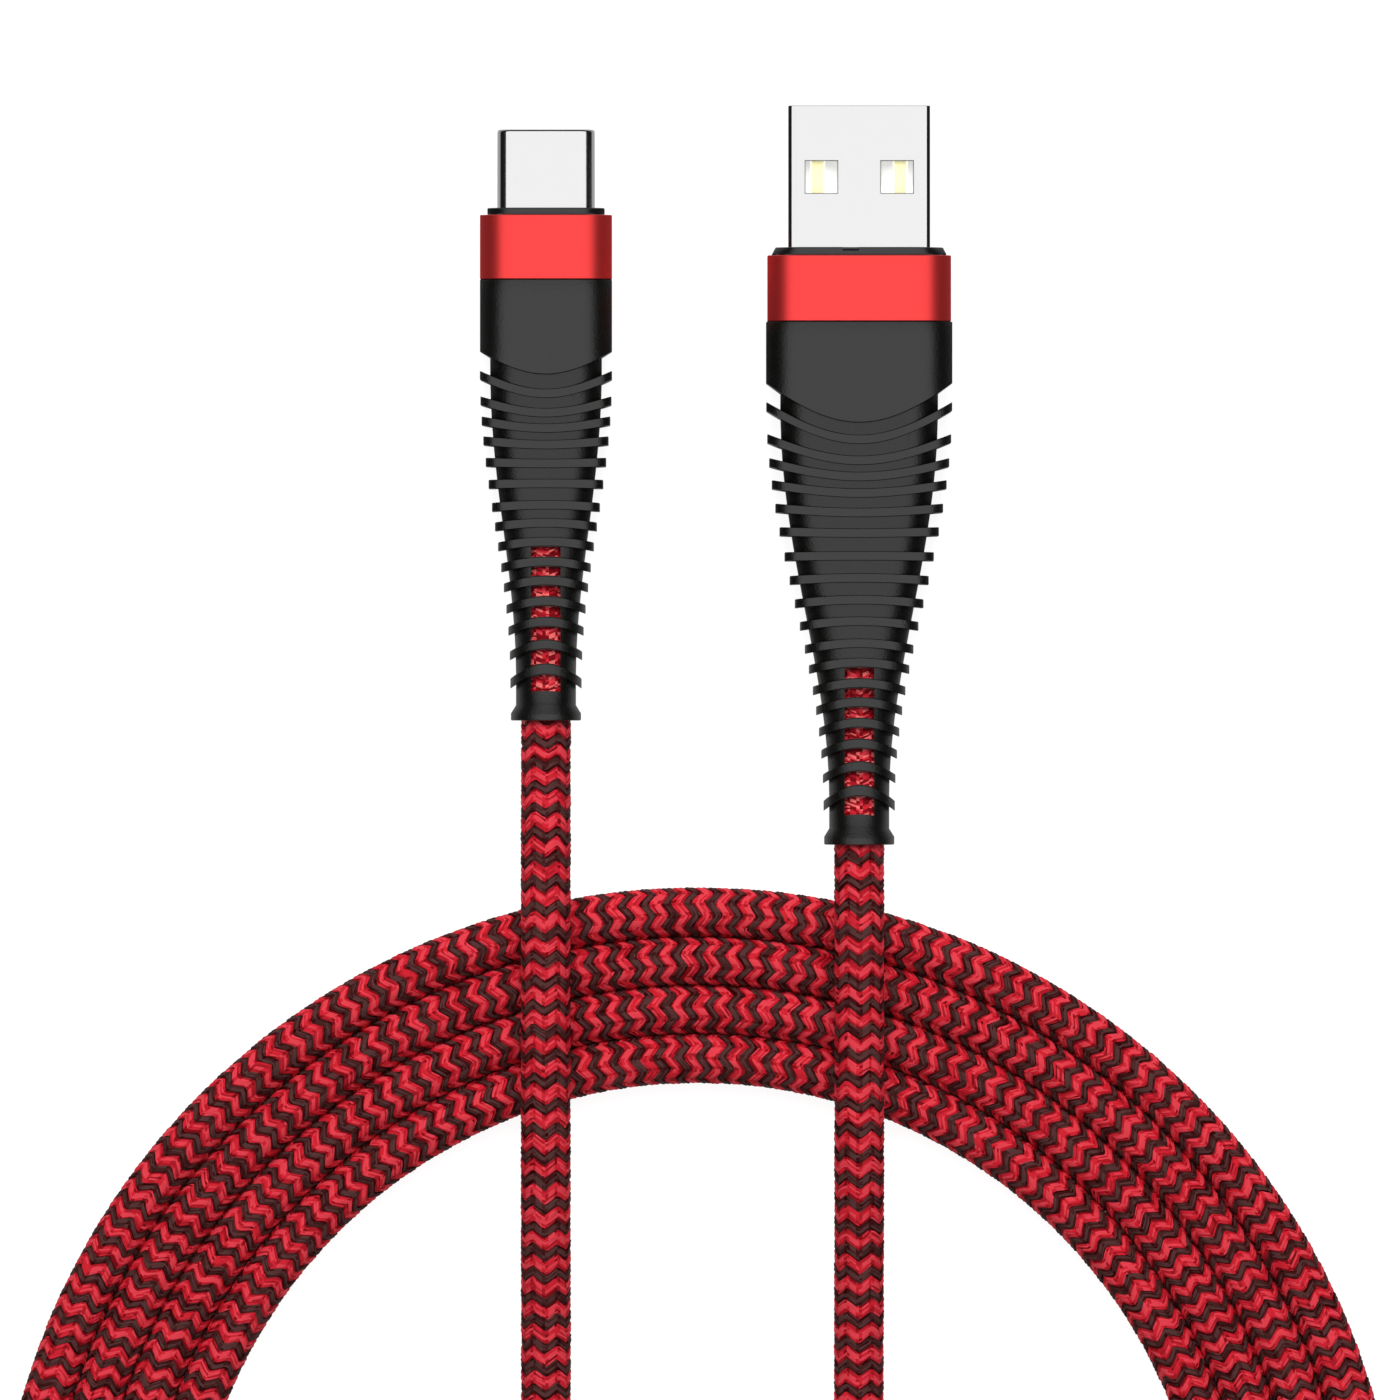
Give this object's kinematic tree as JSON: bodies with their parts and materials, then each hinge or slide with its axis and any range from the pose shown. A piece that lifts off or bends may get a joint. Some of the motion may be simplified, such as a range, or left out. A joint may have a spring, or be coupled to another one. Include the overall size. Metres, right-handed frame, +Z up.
{
  "type": "charging cable",
  "caption": "Braided charging cable with a USB-A plug and a USB-C plug, red metal trim rings, ribbed black strain reliefs, and its cord wound in a flat round coil.",
  "frame": {"origin": "on the surface that the cable lies on, at the middle of the two plugs' common box, without the cord", "axes": "+Z up off the surface, +Y from the cord towards the tips of both plugs, +X from the USB-C plug to the USB-A plug"},
  "size_m": [0.1198, 0.1858, 0.0088],
  "materials": {
    "braid": "woven polyester braid, herringbone bands of red and dark brown-black yarn",
    "boot_rubber": "satin moulded thermoplastic elastomer",
    "anodised_red": "bead-blasted and red anodised",
    "plated_steel": "bright nickel plating",
    "contact_gold": "gold plating",
    "crimp_copper": "bare copper alloy",
    "black_plastic": "smooth moulded",
    "white_plastic": "smooth moulded",
    "jacket_pvc": "extruded",
    "circuit_board": "solder mask",
    "chip_ceramic": "ceramic chip with a glaze",
    "wire_red": "extruded insulation",
    "wire_white": "extruded insulation",
    "wire_green": "extruded insulation",
    "wire_black": "extruded insulation"
  },
  "bodies": {
    "root": {"usb_a_shell": "plated_steel", "usb_a_insulator": "white_plastic", "usb_a_contact_vbus": "contact_gold", "usb_a_contact_data_minus": "contact_gold", "usb_a_contact_data_plus": "contact_gold", "usb_a_contact_ground": "contact_gold", "usb_a_nose_housing": "black_plastic", "usb_a_trim_ring": "anodised_red", "usb_a_boot": "boot_rubber", "usb_a_crimp": "crimp_copper", "usb_a_jacket": "jacket_pvc", "usb_a_wire_red": "wire_red", "usb_a_wire_white": "wire_white", "usb_a_wire_green": "wire_green", "usb_a_wire_black": "wire_black", "usb_c_shell": "plated_steel", "usb_c_insulator": "black_plastic", "usb_c_contact_upper_ground_1": "contact_gold", "usb_c_contact_upper_vbus_1": "contact_gold", "usb_c_contact_upper_cc": "contact_gold", "usb_c_contact_upper_data_plus": "contact_gold", "usb_c_contact_upper_data_minus": "contact_gold", "usb_c_contact_upper_vbus_2": "contact_gold", "usb_c_contact_upper_ground_2": "contact_gold", "usb_c_contact_lower_ground_1": "contact_gold", "usb_c_contact_lower_vbus_1": "contact_gold", "usb_c_contact_lower_vconn": "contact_gold", "usb_c_contact_lower_vbus_2": "contact_gold", "usb_c_contact_lower_ground_2": "contact_gold", "usb_c_ground_spring_upper": "plated_steel", "usb_c_ground_spring_lower": "plated_steel", "usb_c_latch_plate": "plated_steel", "usb_c_board": "circuit_board", "usb_c_resistor": "chip_ceramic", "usb_c_nose_housing": "black_plastic", "usb_c_trim_ring": "anodised_red", "usb_c_boot": "boot_rubber", "usb_c_crimp": "crimp_copper", "usb_c_jacket": "jacket_pvc", "usb_c_wire_red": "wire_red", "usb_c_wire_white": "wire_white", "usb_c_wire_green": "wire_green", "usb_c_wire_black": "wire_black", "cord_coil": "braid", "cord_lead_a": "braid", "cord_lead_c": "braid"}
  },
  "joints": []
}
